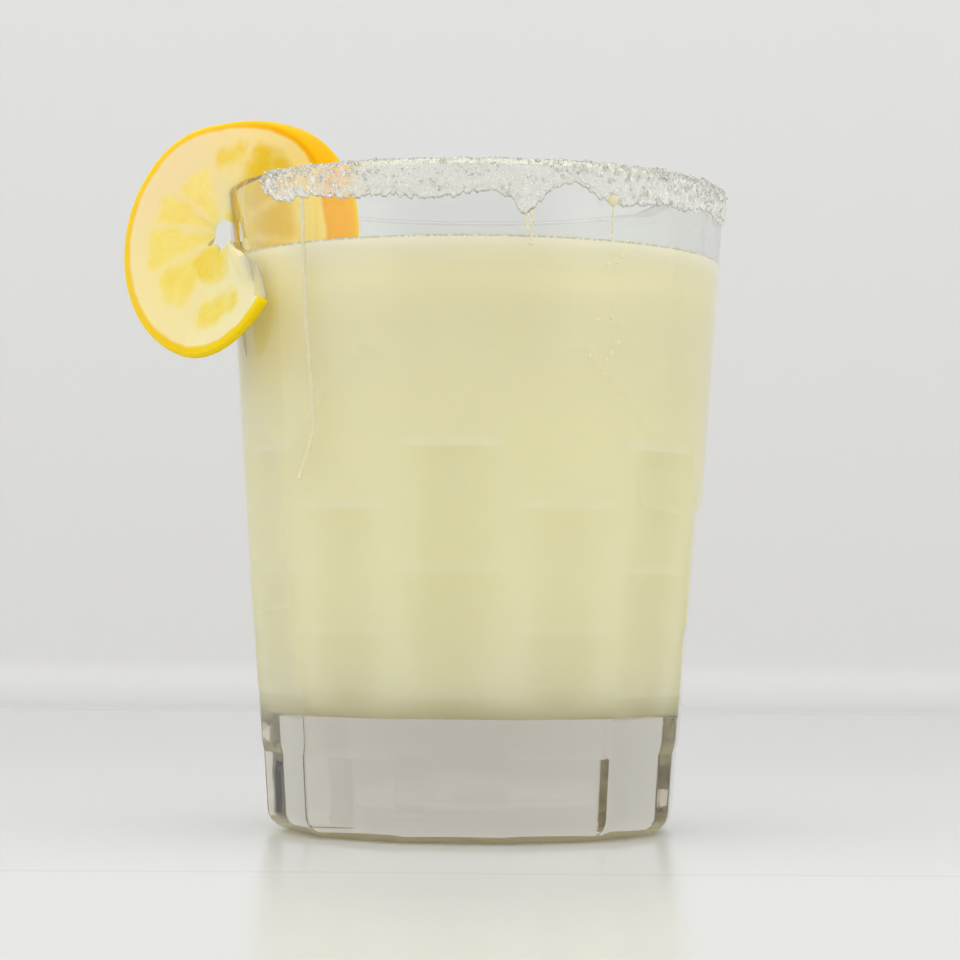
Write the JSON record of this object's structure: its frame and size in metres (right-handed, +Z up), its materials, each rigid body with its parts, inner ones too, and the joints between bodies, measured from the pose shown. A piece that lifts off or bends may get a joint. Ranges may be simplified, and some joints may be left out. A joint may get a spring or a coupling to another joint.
{
  "type": "glass of lemonade",
  "caption": "Cloudy lemonade in a tapered tumbler with staggered flat bricks, a thick base, a crust of salt on the rim and a slit lemon wheel hung over the rim.",
  "frame": {"origin": "middle of the flat base of the glass, on the surface it stands on", "axes": "+Z up along the glass's axis, -Y towards the front, +X to the right; the lemon wheel hangs at -X"},
  "size_m": [0.1042, 0.0878, 0.1201],
  "materials": {
    "clear_glass": "clear pressed soda-lime glass, polished",
    "lemonade": "cloudy pale yellow drink, wet",
    "lemon": "wet cut lemon, thick pale pith, orange-yellow rind",
    "salt": "wet translucent coarse salt"
  },
  "bodies": {
    "root": {"glass": "clear_glass", "lemonade": "lemonade", "lemon_slice": "lemon", "salt_rim": "salt"}
  },
  "joints": []
}
